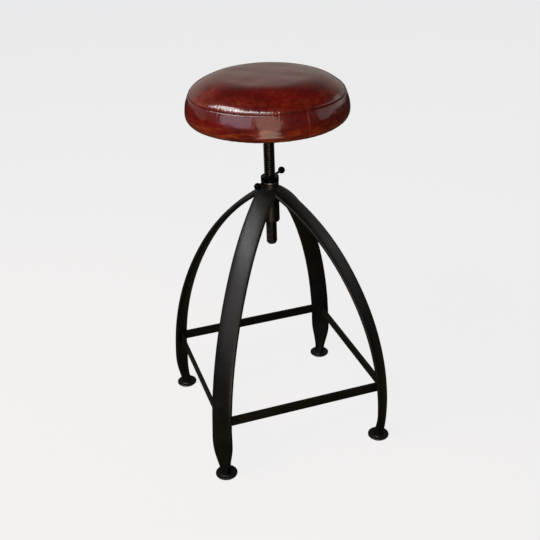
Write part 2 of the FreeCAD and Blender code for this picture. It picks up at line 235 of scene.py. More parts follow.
def stoved_paint(name, colour, thin_colour, roughness, peel_mm):
    """Satin stoved paint: dark film, thin brownish patches, orange peel in the bump."""
    material, tree = new_material(name)
    place = add_node(tree, "ShaderNodeTexCoord")
    patches = add_node(tree, "ShaderNodeTexNoise", {"Vector": place.outputs["Object"], "Scale": 1 / 0.05,
                                                    "Detail": 5.0, "Roughness": 0.6})
    film = add_node(tree, "ShaderNodeValToRGB", {0: patches.outputs["Fac"]},
                    stops=[(0.42, colour), (0.72, thin_colour)])
    rubbed = add_node(tree, "ShaderNodeMapRange", {"Value": patches.outputs["Fac"], "From Min": 0.3,
                      "From Max": 0.7, "To Min": roughness - 0.05, "To Max": roughness + 0.08})
    peel = add_node(tree, "ShaderNodeTexNoise", {"Vector": place.outputs["Object"], "Scale": 1000 / peel_mm,
                                                 "Detail": 2.0})
    dust = add_node(tree, "ShaderNodeTexVoronoi", {"Vector": place.outputs["Object"], "Scale": 1 / 0.006})
    nibs = add_node(tree, "ShaderNodeMapRange", {"Value": dust.outputs["Distance"], "From Min": 0.0,
                                                 "From Max": 0.12, "To Min": 1.0, "To Max": 0.0})
    relief = add_node(tree, "ShaderNodeMath", {0: peel.outputs["Fac"], 1: nibs.outputs[0]}, operation="ADD")
    bump = add_node(tree, "ShaderNodeBump", {"Height": relief.outputs[0], "Strength": 0.12,
                                             "Distance": 0.0004})
    paint = add_node(tree, "ShaderNodeBsdfPrincipled", {"Base Color": film.outputs[0],
                     "Roughness": rubbed.outputs[0], "IOR": 1.5, "Specular IOR Level": 0.25,
                     "Normal": bump.outputs[0]})
    add_node(tree, "ShaderNodeOutputMaterial", {"Surface": paint.outputs[0]})
    return material


def finish_nodes(material, *names):
    for name in names:
        for holder in nodes[name].material_slots:
            holder.material = material


frame_paint = stoved_paint("satin_black_stoved_paint", "#070604", "#0f0c08", 0.39, 1.1)
finish_nodes(frame_paint, *("leg_" + corner for corner in corner_names))


# Stretchers. Four lengths of flat mild steel bar on edge, coped to the legs and welded,
# painted with them.
finish_nodes(frame_paint, *("stretcher_" + side for side in ("front", "right", "rear", "left")))


# Feet. Turned steel discs with a bevelled rim and a low boss that the swaged leg is welded
# to, painted with the frame, on moulded polythene glides.
finish_nodes(frame_paint, *("foot_disc_" + corner for corner in corner_names))


def moulded_plastic(name, dark_colour, pale_colour, roughness):
    """Moulded plastic with a fine spark-eroded texture."""
    material, tree = new_material(name)
    place = add_node(tree, "ShaderNodeTexCoord")
    grain = add_node(tree, "ShaderNodeTexNoise", {"Vector": place.outputs["Object"], "Scale": 1 / 0.0008,
                                                  "Detail": 3.0})
    shade = add_node(tree, "ShaderNodeMapRange", {"Value": grain.outputs["Fac"], "To Min": roughness - 0.08,
                                                  "To Max": roughness + 0.1})
    tone = add_node(tree, "ShaderNodeMix", {"Factor": grain.outputs["Fac"], 6: linear(dark_colour),
                                            7: linear(pale_colour)}, data_type="RGBA")
    bump = add_node(tree, "ShaderNodeBump", {"Height": grain.outputs["Fac"], "Strength": 0.2,
                                             "Distance": 0.0002})
    body = add_node(tree, "ShaderNodeBsdfPrincipled", {"Base Color": tone.outputs[2],
                    "Roughness": shade.outputs[0], "IOR": 1.49, "Normal": bump.outputs[0]})
    add_node(tree, "ShaderNodeOutputMaterial", {"Surface": body.outputs[0]})
    return material


glide_plastic = moulded_plastic("moulded_black_polythene", "#1c1c1b", "#262524", 0.55)
finish_nodes(glide_plastic, *("foot_pad_" + corner for corner in corner_names))


# Hub. A bored and tapped steel sleeve with a rounded lower end, painted with the frame.
# The nylon ring in its top pocket and the spring washer on it are seen only from close by.
finish_nodes(frame_paint, "hub_sleeve")
finish_nodes(moulded_plastic("turned_natural_nylon", "#d8d2c2", "#e2dccd", 0.5), "guide_ring")


def bare_steel(name, colour, dark_colour, roughness, turning_mm):
    """Machined steel with fine turning marks and slight staining."""
    material, tree = new_material(name)
    place = add_node(tree, "ShaderNodeTexCoord")
    rings = add_node(tree, "ShaderNodeTexWave", {"Vector": place.outputs["Object"],
                     "Scale": 1000 / turning_mm, "Distortion": 1.5, "Detail": 2.0}, bands_direction="Z")
    stain = add_node(tree, "ShaderNodeTexNoise", {"Vector": place.outputs["Object"], "Scale": 1 / 0.008,
                                                  "Detail": 6.0})
    tone = add_node(tree, "ShaderNodeMix", {"Factor": stain.outputs["Fac"], 6: linear(dark_colour),
                                            7: linear(colour)}, data_type="RGBA")
    polish = add_node(tree, "ShaderNodeMapRange", {"Value": stain.outputs["Fac"], "To Min": roughness + 0.1,
                                                   "To Max": roughness - 0.05})
    bump = add_node(tree, "ShaderNodeBump", {"Height": rings.outputs["Fac"], "Strength": 0.15,
                                             "Distance": 0.0001})
    body = add_node(tree, "ShaderNodeBsdfPrincipled", {"Base Color": tone.outputs[2], "Metallic": 1.0,
                    "Roughness": polish.outputs[0], "Normal": bump.outputs[0]})
    add_node(tree, "ShaderNodeOutputMaterial", {"Surface": body.outputs[0]})
    return material


zinc_plate = bare_steel("zinc_plated_steel", "#c2c3c0", "#8f908c", 0.32, 0.4)
finish_nodes(zinc_plate, "spring_washer")


# Spindle. Steel bar with a rolled 5 mm pitch right-hand thread along its length and a
# chamfered lower end, chemically blacked and oiled, so it is dark with a dull gleam on
# the crests.
thread_pitch = 0.005
thread_depth = 0.0019
thread_crest_width = 0.0012
thread_root_width = 0.0036
thread_runout_share = 0.012
spindle_chamfer = 0.0026
round_steps = 48
sharp_edge = math.radians(35)


def lathe(name, outline, steps):
    """Closed turned mesh about Z from (radius, height) points, bottom to top, both ends on the axis."""
    corners = [(radius, height) for radius, height in outline if radius > 0]
    points = [(0, 0, outline[0][1])]
    faces = []
    for radius, height in corners:
        for step in range(steps):
            turn = 2 * math.pi * step / steps
            points.append((radius * math.cos(turn), radius * math.sin(turn), height))
    points.append((0, 0, outline[-1][1]))
    last = len(points) - 1
    for step in range(steps):
        after = (step + 1) % steps
        faces.append((0, 1 + after, 1 + step))
        for row in range(len(corners) - 1):
            low = 1 + row * steps
            faces.append((low + step, low + after, low + steps + after, low + steps + step))
        top = 1 + (len(corners) - 1) * steps
        faces.append((top + step, top + after, last))
    mesh = bpy.data.meshes.new(name)
    mesh.from_pydata(points, [], faces)
    mesh.shade_smooth()
    mesh.set_sharp_from_angle(angle=sharp_edge)
    return mesh


def new_tree(name, sockets):
    """Geometry Nodes tree with a mesh input, the named number inputs and a mesh output."""
    tree = bpy.data.node_groups.new(name, "GeometryNodeTree")
    tree.interface.new_socket("Mesh", in_out="INPUT", socket_type="NodeSocketGeometry")
    for label, kind in sockets:
        tree.interface.new_socket(label, in_out="INPUT", socket_type=kind)
    tree.interface.new_socket("Mesh", in_out="OUTPUT", socket_type="NodeSocketGeometry")
    return tree, tree.nodes.new("NodeGroupInput")


def end_tree(tree, geometry, material):
    """Realizes whatever is instanced, gives it its material and ends the tree."""
    real = add_node(tree, "GeometryNodeRealizeInstances", {0: geometry})
    coloured = add_node(tree, "GeometryNodeSetMaterial", {"Geometry": real.outputs[0], "Material": material})
    smooth = add_node(tree, "GeometryNodeSetShadeSmooth", {"Geometry": coloured.outputs[0]})
    add_node(tree, "NodeGroupOutput", {0: smooth.outputs[0]})


def grow(start, tree, values):
    """Runs a tree on an object and returns the plain mesh it makes."""
    modifier = start.modifiers.new("grow", "NODES")
    modifier.node_group = tree
    for item in tree.interface.items_tree:
        if item.item_type == "SOCKET" and item.in_out == "INPUT" and item.name in values:
            modifier[item.identifier] = values[item.name]
    bpy.context.view_layer.update()
    mesh = bpy.data.meshes.new_from_object(start.evaluated_get(bpy.context.evaluated_depsgraph_get()))
    start.modifiers.remove(modifier)
    return mesh


def thread_tree(material):
    """Core in, threaded rod out: a trapezoid ridge swept up a helix, fading out at both ends."""
    tree, given = new_tree("thread", [("Radius", "NodeSocketFloat"), ("Depth", "NodeSocketFloat"),
                                      ("Pitch", "NodeSocketFloat"), ("Crest", "NodeSocketFloat"),
                                      ("Root", "NodeSocketFloat"), ("Bottom", "NodeSocketFloat"),
                                      ("Length", "NodeSocketFloat")])
    turns = add_node(tree, "ShaderNodeMath", {0: given.outputs["Length"], 1: given.outputs["Pitch"]},
                     operation="DIVIDE")
    sunk = add_node(tree, "ShaderNodeMath", {0: given.outputs["Radius"], 1: given.outputs["Depth"]},
                    operation="SUBTRACT")
    helix = add_node(tree, "GeometryNodeCurveSpiral", {"Resolution": round_steps,
                     "Rotations": turns.outputs[0], "Start Radius": sunk.outputs[0],
                     "End Radius": sunk.outputs[0], "Height": given.outputs["Length"], "Reverse": True})
    level = add_node(tree, "GeometryNodeSetCurveNormal", {0: helix.outputs[0]}, mode="Z_UP")
    share = add_node(tree, "GeometryNodeSplineParameter")
    from_end = add_node(tree, "ShaderNodeMath", {0: 1.0, 1: share.outputs["Factor"]}, operation="SUBTRACT")
    nearer = add_node(tree, "ShaderNodeMath", {0: share.outputs["Factor"], 1: from_end.outputs[0]},
                      operation="MINIMUM")
    fade = add_node(tree, "ShaderNodeMapRange", {"Value": nearer.outputs[0], "From Max": thread_runout_share})
    faded = add_node(tree, "GeometryNodeSetCurveRadius", {0: level.outputs[0], "Radius": fade.outputs[0]})
    tooth = add_node(tree, "GeometryNodeCurvePrimitiveQuadrilateral", {"Bottom Width": given.outputs["Root"],
                     "Top Width": given.outputs["Crest"], "Height": given.outputs["Depth"], "Offset": 0.0},
                     mode="TRAPEZOID")
    half = add_node(tree, "ShaderNodeMath", {0: given.outputs["Depth"], 1: 0.5}, operation="MULTIPLY")
    lift = add_node(tree, "ShaderNodeCombineXYZ", {"Y": half.outputs[0]})
    raised = add_node(tree, "GeometryNodeTransform", {"Geometry": tooth.outputs[0],
                                                      "Translation": lift.outputs[0]})
    turned = add_node(tree, "GeometryNodeTransform", {"Geometry": raised.outputs[0],
                      "Rotation": (0.0, 0.0, math.radians(-90))})
    ridge = add_node(tree, "GeometryNodeCurveToMesh", {"Curve": faded.outputs[0],
                     "Profile Curve": turned.outputs[0]})
    rise = add_node(tree, "ShaderNodeCombineXYZ", {"Z": given.outputs["Bottom"]})
    placed = add_node(tree, "GeometryNodeTransform", {"Geometry": ridge.outputs[0],
                                                      "Translation": rise.outputs[0]})
    join = add_node(tree, "GeometryNodeJoinGeometry")
    tree.links.new(placed.outputs[0], join.inputs[0])
    tree.links.new(given.outputs["Mesh"], join.inputs[0])
    end_tree(tree, join.outputs[0], material)
    return tree


spindle_low, spindle_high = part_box("spindle")
spindle_radius = spindle_high.x
core_radius = spindle_radius - thread_depth
core_outline = [
    (0, spindle_low.z),
    (core_radius - spindle_chamfer, spindle_low.z),
    (core_radius - spindle_chamfer / 3, spindle_low.z + spindle_chamfer / 4),
    (core_radius, spindle_low.z + spindle_chamfer),
    (core_radius, spindle_high.z),
    (0, spindle_high.z),
]
blacked_steel = bare_steel("oil_blacked_steel", "#3e3d39", "#201f1d", 0.36, 0.5)
core = link_object("spindle_core", lathe("spindle_core", core_outline, round_steps))
screw_mesh = grow(core, thread_tree(blacked_steel), {
    "Radius": spindle_radius, "Depth": thread_depth, "Pitch": thread_pitch, "Crest": thread_crest_width,
    "Root": thread_root_width, "Bottom": spindle_low.z + spindle_chamfer,
    "Length": spindle_high.z - spindle_low.z - 2 * spindle_chamfer})
bpy.data.objects.remove(core)
screw_mesh.set_sharp_from_angle(angle=sharp_edge)
threaded_spindle = link_object("threaded_spindle", screw_mesh)
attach(threaded_spindle, "seat")
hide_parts("spindle")


# Lock nut. A round nut tapped for the spindle, with two steel arms screwed into it and a
# turned ball on each arm's end. All three are blacked and handled, so a little glossier.
handled_black = bare_steel("handled_black_oxide", "#0a0a09", "#060605", 0.4, 0.6)
finish_nodes(handled_black, "lock_nut", "lock_arm_front", "lock_arm_rear")
finish_nodes(handled_black, "ball_knob_front", "ball_knob_rear")


# Seat plate and screws. A round mild steel plate welded to the spindle's top, painted, and
# four slotted round-head screws up into the board.
finish_nodes(frame_paint, "seat_plate")
finish_nodes(zinc_plate, "seat_screws")


# Seat board. Birch plywood disc with its lower edge rounded over so that the leather turns
# under it without a ridge. Only its plies' edges would show, and the leather hides them.
def plywood(name):
    material, tree = new_material(name)
    place = add_node(tree, "ShaderNodeTexCoord")
    stretch = add_node(tree, "ShaderNodeMapping", {"Vector": place.outputs["Object"],
                                                   "Scale": (3.0, 60.0, 700.0)})
    grain = add_node(tree, "ShaderNodeTexNoise", {"Vector": stretch.outputs[0], "Scale": 4.0, "Detail": 5.0})
    tone = add_node(tree, "ShaderNodeValToRGB", {0: grain.outputs["Fac"]},
                    stops=[(0.3, "#b58a5c"), (0.7, "#d9b98c")])
    bump = add_node(tree, "ShaderNodeBump", {"Height": grain.outputs["Fac"], "Strength": 0.2,
                                             "Distance": 0.0003})
    body = add_node(tree, "ShaderNodeBsdfPrincipled", {"Base Color": tone.outputs[0], "Roughness": 0.65,
                    "IOR": 1.5, "Normal": bump.outputs[0]})
    add_node(tree, "ShaderNodeOutputMaterial", {"Surface": body.outputs[0]})
    return material


finish_nodes(plywood("birch_plywood"), "seat_board")


# Seat pad. Polyether foam on the board, pressed into a crowned round by the leather drawn
# down over it. The pad's shape is found by blowing up a slightly small bag of cloth with its
# seam and its underside held, and then read off as how far it stands from the drawn outline.
band_low, band_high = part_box("leather_band")
top_low, top_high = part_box("leather_top")
board_low, board_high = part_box("seat_board")
seat_radius = band_high.x
seat_bottom = band_low.z
seam_radius = top_high.x
seam_height = top_low.z
crown_rise = top_high.z - seam_height
corner_radius = 0.020
crown_shoulder = 0.026
crown_haunch_slope = math.radians(38)
crown_middle_slope = math.radians(1.75)
pad_shrink = 0.0035
pad_bottom_flat = 0.020
pad_voxel = 0.005
pad_pressure = 4.0
pad_frames = 20
pad_cap = 0.006
pad_held_reach = 0.006
pad_held_height = 0.004
pad_steps = 96
loose_patches = 28
loose_fine_patches = 70
unevenness_kept = 0.0016


def side_arc_and_lean():
    """Radius of the band's side, and how far it leans in at the seam."""
    side = seam_height - seat_bottom - corner_radius
    bulge = seat_radius - seam_radius
    side_arc = (side ** 2 + bulge ** 2) / (2 * bulge)
    return side_arc, math.asin(side / side_arc)


def side_outline(count):
    """(radius, height) points of the band's outer face from the underside's edge up to the seam."""
    side_arc, lean = side_arc_and_lean()
    level = seat_bottom + corner_radius
    turns = np.linspace(-math.pi / 2, 0, count // 3, endpoint=False)
    below = [(seat_radius - corner_radius * (1 - math.cos(turn)), level + corner_radius * math.sin(turn))
             for turn in turns]
    above = [(seat_radius - side_arc * (1 - math.cos(turn)), level + side_arc * math.sin(turn))
             for turn in np.linspace(0, lean, count - count // 3)]
    return below + above


def crown_outline(count):
    """(radius, height) points of the top panel, seam to middle: three arcs in line with the band."""
    seam_slope = math.pi / 2 - side_arc_and_lean()[1]
    slopes = [seam_slope, crown_haunch_slope, crown_middle_slope, 0.0]
    across = [math.sin(high) - math.sin(low) for high, low in zip(slopes, slopes[1:])]
    rise = [math.cos(low) - math.cos(high) for high, low in zip(slopes, slopes[1:])]
    past_shoulder = (seam_radius - crown_shoulder * across[0], crown_rise - crown_shoulder * rise[0])
    haunch, middle = np.linalg.solve([across[1:], rise[1:]], past_shoulder)
    out = seam_radius
    up = seam_height
    points = []
    for radius, high, low in zip((crown_shoulder, haunch, middle), slopes, slopes[1:]):
        centre_out = out - radius * math.sin(high)
        centre_up = up - radius * math.cos(high)
        for turn in np.linspace(high, low, count // 3 + 1)[:-1]:
            points.append((centre_out + radius * math.sin(turn), centre_up + radius * math.cos(turn)))
        out = centre_out + radius * math.sin(low)
        up = centre_up + radius * math.cos(low)
    return points + [(0.0, seam_height + crown_rise)]


def outline_normals(points):
    """Outward unit normals of an outline that runs up and inward."""
    line = np.array(points)
    along = np.gradient(line, axis=0)
    along /= np.linalg.norm(along, axis=1)[:, None]
    return np.stack([along[:, 1], -along[:, 0]], axis=1)


def blown_pad():
    """Cloth simulation of the leather bag, returned as a tree to measure against."""
    outline = [(0, seat_bottom)] + side_outline(24) + crown_outline(30)[1:]
    pad = link_object("pad_form", lathe("pad_form", outline, pad_steps))
    for point in pad.data.vertices:
        out = Vector((point.co.x, point.co.y, 0))
        if out.length > pad_bottom_flat:
            point.co -= out.normalized() * pad_shrink
        if point.co.z > seam_height:
            point.co.z -= pad_shrink
    remesh = pad.modifiers.new("remesh", "REMESH")
    remesh.mode = "VOXEL"
    remesh.voxel_size = pad_voxel
    even = bpy.data.meshes.new_from_object(pad.evaluated_get(bpy.context.evaluated_depsgraph_get()))
    pad.modifiers.clear()
    pad.data = even
    held = pad.vertex_groups.new(name="held")
    loose = pad.vertex_groups.new(name="loose")
    rest = np.array([point.co[:] for point in even.vertices])
    for index, (x, y, z) in enumerate(rest):
        radius = math.hypot(x, y)
        by_seam = math.hypot(radius - seam_radius + pad_shrink, z - seam_height) < pad_held_reach
        if z < seat_bottom + pad_held_height or by_seam:
            held.add([index], 1.0, "REPLACE")
        place = Vector((x, y, z))
        broad = noise.noise(place * loose_patches)
        fine = 0.6 * noise.noise(place * loose_fine_patches + Vector((5, 3, 1)))
        loose.add([index], min(max(0.5 + 0.9 * (broad + fine), 0), 1), "REPLACE")
    cloth = pad.modifiers.new("cloth", "CLOTH")
    cloth.settings.quality = 6
    cloth.settings.mass = 0.4
    cloth.settings.tension_stiffness = 25
    cloth.settings.compression_stiffness = 25
    cloth.settings.bending_stiffness = 2.0
    cloth.settings.use_pressure = True
    cloth.settings.uniform_pressure_force = pad_pressure
    cloth.settings.vertex_group_mass = held.name
    cloth.settings.vertex_group_shrink = loose.name
    cloth.settings.shrink_min = 0.02
    cloth.settings.shrink_max = -0.03
    cloth.settings.effector_weights.gravity = 0
    cloth.point_cache.frame_start = 1
    cloth.point_cache.frame_end = pad_frames
    for frame_number in range(1, pad_frames + 1):
        bpy.context.scene.frame_set(frame_number)
    blown = bpy.data.meshes.new_from_object(pad.evaluated_get(bpy.context.evaluated_depsgraph_get()))
    bpy.context.scene.frame_set(1)
    moved = np.array([point.co[:] for point in blown.vertices]) - rest
    far = np.linalg.norm(moved, axis=1)
    moved *= np.minimum(1, pad_cap / np.maximum(far, 1e-9))[:, None]
    final = [Vector(place) for place in rest + moved]
    surface = BVHTree.FromPolygons(final, [tuple(face.vertices) for face in blown.polygons])
    bpy.data.objects.remove(pad)
    return surface


pad_rays = 256
ray_start = 0.02
ray_reach = 0.05
smoothing_passes = 2


def unevenness(surface, points):
    """How far the blown pad stands proud of an outline, less its mean, on a grid of angles round it."""
    normals = outline_normals(points)
    grid = np.zeros((len(points), pad_rays))
    if surface is None:
        return grid
    for row, ((radius, height), (out, up)) in enumerate(zip(points, normals)):
        for step in range(pad_rays):
            turn = 2 * math.pi * step / pad_rays
            ray = Vector((out * math.cos(turn), out * math.sin(turn), up))
            start = Vector((radius * math.cos(turn), radius * math.sin(turn), height)) + ray * ray_start
            hit = surface.ray_cast(start, -ray, ray_reach)
            grid[row, step] = ray_start - hit[3] if hit[0] else -pad_shrink
    grid -= grid.mean(axis=1)[:, None]
    return np.clip(grid, -unevenness_kept, unevenness_kept)


def smooth_over(grid):
    soft = (np.roll(grid, 1, axis=1) + 2 * grid + np.roll(grid, -1, axis=1)) / 4
    padded = np.vstack([soft[:1], soft, soft[-1:]])
    return (padded[:-2] + 2 * padded[1:-1] + padded[2:]) / 4


side_points = side_outline(30)
crown_points = crown_outline(36)
pad_surface = blown_pad()
side_swell = unevenness(pad_surface, side_points)
crown_swell = unevenness(pad_surface, crown_points)
for smoothing in range(smoothing_passes):
    side_swell = smooth_over(side_swell)
    crown_swell = smooth_over(crown_swell)


def swell_at(grid, share, turn):
    """Unevenness at a share along the outline and an angle round it, read between grid points."""
    row = share * (grid.shape[0] - 1)
    column = (turn / (2 * math.pi) % 1) * pad_rays
    low, left = int(row), int(column)
    high, right = min(low + 1, grid.shape[0] - 1), (left + 1) % pad_rays
    down, across = row - low, column - left
    near = grid[low, left % pad_rays] * (1 - across) + grid[low, right] * across
    far = grid[high, left % pad_rays] * (1 - across) + grid[high, right] * across
    return near * (1 - down) + far * down


# Foam. The pad itself, seen by nobody: a crowned disc over the board with its edge turned
# down round it.
foam_steps = 256
foam_inset = 0.0024
foam_gap = 0.0003
foam_hem_gap = 0.0012
axis_reach = 0.00001


def revolve_closed(name, loop, steps, lift, paint=None):
    """Turned closed skin. loop is (radius, height, out, up, share) points round the section;
    lift(share, turn) moves a point along (out, up); paint(share, turn) gives its wear value.
    Points on the axis are welded into one."""
    count = len(loop)
    points, wear, faces = [], [], []
    for radius, height, out, up, share in loop:
        for step in range(steps):
            turn = 2 * math.pi * step / steps
            amount = lift(share, turn)
            away = radius + out * amount
            points.append((away * math.cos(turn), away * math.sin(turn), height + up * amount))
            wear.append(paint(share, turn) if paint else 0.0)
    for row in range(count):
        low, high = row * steps, (row + 1) % count * steps
        for step in range(steps):
            after = (step + 1) % steps
            faces.append((low + step, low + after, high + after, high + step))
    mesh = bpy.data.meshes.new(name)
    mesh.from_pydata(points, [], faces)
    mesh.attributes.new("wear", "FLOAT", "POINT").data.foreach_set("value", wear)
    work = bmesh.new()
    work.from_mesh(mesh)
    on_axis = [point for point in work.verts if point.co.xy.length < axis_reach]
    bmesh.ops.remove_doubles(work, verts=on_axis, dist=2 * axis_reach)
    work.to_mesh(mesh)
    work.free()
    mesh.shade_smooth()
    return mesh


def pad_foam(name):
    material, tree = new_material(name)
    place = add_node(tree, "ShaderNodeTexCoord")
    cells = add_node(tree, "ShaderNodeTexVoronoi", {"Vector": place.outputs["Object"], "Scale": 1 / 0.0012})
    tone = add_node(tree, "ShaderNodeValToRGB", {0: cells.outputs["Distance"]},
                    stops=[(0.0, "#c9b98a"), (0.8, "#e6dcb8")])
    bump = add_node(tree, "ShaderNodeBump", {"Height": cells.outputs["Distance"], "Strength": 0.4,
                                             "Distance": 0.0004})
    body = add_node(tree, "ShaderNodeBsdfPrincipled", {"Base Color": tone.outputs[0], "Roughness": 0.9,
                    "IOR": 1.5, "Normal": bump.outputs[0]})
    add_node(tree, "ShaderNodeOutputMaterial", {"Surface": body.outputs[0]})
    return material


def foam_loop():
    """Section of the pad: up the side, in over the crown, and back along the board's top and edge."""
    loop = []
    outline = side_points + crown_points[1:-1]
    for index, ((radius, height), (out, up)) in enumerate(zip(outline, outline_normals(outline))):
        place = (radius - out * foam_inset, height - up * foam_inset)
        if place[1] > board_low.z:
            loop.append(place + (out, up, index / (len(outline) - 1)))
    loop.append((0.0, seam_height + crown_rise - foam_inset, 0, 1, 1.0))
    hollow_radius = board_high.x + foam_gap
    hollow_top = board_high.z + foam_gap
    hollow_bottom = board_low.z + foam_hem_gap
    for place in ((0.0, hollow_top), (hollow_radius, hollow_top), (hollow_radius, hollow_bottom)):
        loop.append(place + (0, 0, 0.0))
    return loop


def pad_lift(share, turn):
    split = len(side_points) / (len(side_points) + len(crown_points) - 2)
    if share < split:
        return swell_at(side_swell, share / split, turn)
    return swell_at(crown_swell, (share - split) / (1 - split), turn)


foam_pad = link_object("foam_pad", revolve_closed("foam_pad", foam_loop(), foam_steps, pad_lift),
                       [pad_foam("polyether_foam")])
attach(foam_pad, "seat")
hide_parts("seat_foam")


# Leather top. A round of aniline-dyed, glazed hide, cut a little larger than the seat and sewn
# to the band inside out, so its edge rolls down into the seam. The sewing puckers it in short
# folds across the seam, most at the front left, and the dye is rubbed to orange-brown there.
leather_steps = 1024
hide_thickness = 0.0012
groove_depth = 0.00066
groove_width = 0.0016
seam_gap = 0.00025
rolled_edge = ((0.0042, 1.0), (0.0030, 1.0), (0.0019, 1.0), (0.0011, 1.3), (0.0006, 2.2))
edge_roll = 0.0011
pucker_depth = 0.00020
pucker_depth_front = 0.00034
pucker_fade = 0.011
pucker_middle = math.radians(-128)
pucker_spread = math.radians(40)
gather_depth = 0.0003
gather_fade = 0.02
slack_depth = 0.0008
slack_size = 0.075
ripple_depth = 0.0002
ripple_size = 0.028
top_seam_fade = 0.012
inner_face_step = 3
rub_reach = 0.04
rub_strength = 0.38


def angle_from(turn, middle):
    return abs((turn - middle + math.pi) % (2 * math.pi) - math.pi)


def round_noise(turn, across, wave, across_wave, seed):
    """Noise round the seat: wave is its length along the seam, across_wave its length across it."""
    reach = seam_radius / wave
    return noise.noise(Vector((math.cos(turn) * reach, math.sin(turn) * reach, across / across_wave + seed)))


def sheet_loop(outline, thickness, inner_every):
    """Closed section of a sheet: its outer outline, then back along its inner face."""
    line = np.array(outline)
    normals = outline_normals(outline)
    lengths = np.concatenate([[0], np.cumsum(np.linalg.norm(np.diff(line, axis=0), axis=1))])
    outer = [(*line[index], *normals[index], lengths[index]) for index in range(len(line))]
    kept = sorted(set(range(0, len(line), inner_every)) | {len(line) - 1}, reverse=True)
    inner = [(*(line[index] - normals[index] * thickness), *normals[index], lengths[index]) for index in kept]
    return outer + inner, lengths


def seam_normal():
    out, up = outline_normals(side_points)[-1]
    inward, rise = outline_normals(crown_points)[0]
    both = Vector((out + inward, up + rise)).normalized()
    return both.x, both.y


def tuck(sign):
    """Points of a rolled edge from its hidden end out to the seam, above it for +1 and below for -1."""
    out, up = seam_normal()
    points = []
    for depth, gaps in rolled_edge:
        aside = sign * gaps * seam_gap
        points.append((seam_radius - out * depth - up * aside, seam_height - up * depth + out * aside))
    return points


def past_seam(outline, start):
    """Outline points that lie farther than start from the seam."""
    line = np.array(outline)
    far = np.linalg.norm(line - np.array((seam_radius, seam_height)), axis=1)
    return [point for point, distance in zip(outline, far) if distance > start]


def pucker(turn, away):
    """Short folds that the sewing draws across the seam, and the groove that it pulls in."""
    front = math.exp(-(angle_from(turn, pucker_middle) / pucker_spread) ** 2)
    fine = round_noise(turn, away, 0.0042, 0.016, 3.0) + 0.5 * round_noise(turn, away, 0.0023, 0.012, 9.0)
    folds = (pucker_depth + pucker_depth_front * front) * fine * math.exp(-away / pucker_fade)
    gathers = gather_depth * round_noise(turn, away, 0.016, 0.03, 17.0) * math.exp(-away / gather_fade)
    groove = groove_depth * math.exp(-(away / groove_width) ** 2)
    return folds + gathers - groove


top_outline = tuck(1) + past_seam(crown_outline(60), edge_roll)
top_loop, top_lengths = sheet_loop(top_outline, hide_thickness, inner_face_step)
top_seam_length = top_lengths[len(rolled_edge) - 1]
top_length = top_lengths[-1] - top_seam_length
crown_steps = np.linalg.norm(np.diff(np.array(crown_points), axis=0), axis=1)
crown_aways = np.concatenate([[0], np.cumsum(crown_steps)])


def crown_share(away):
    """Where a distance from the seam falls on the unevenness grid's rows."""
    return float(np.interp(away, crown_aways, np.linspace(0, 1, len(crown_aways))))


def top_lift(length, turn):
    away = length - top_seam_length
    if away < 0:
        return 0.0
    across = min(away / top_length, 1.0)
    swell = swell_at(crown_swell, crown_share(away), turn) * min(1.0, (1 - across) * 12)
    radius = seam_radius * (1 - across)
    place = Vector((radius * math.cos(turn), radius * math.sin(turn), 0.4))
    slack = slack_depth * noise.noise(place / slack_size) + ripple_depth * noise.noise(place / ripple_size)
    return (swell + slack) * min(away / top_seam_fade, 1.0) + pucker(turn, away)


def top_wear(length, turn):
    """Rubbed and mottled more towards the seam, in patches."""
    away = max(length - top_seam_length, 0.0)
    broad = 0.8 * round_noise(turn, away, 0.045, 0.02, 41.0)
    fine = 0.4 * round_noise(turn, away, 0.012, 0.008, 47.0)
    return rub_strength * min(max(0.3 + broad + fine, 0), 1) * math.exp(-(away / rub_reach) ** 2)


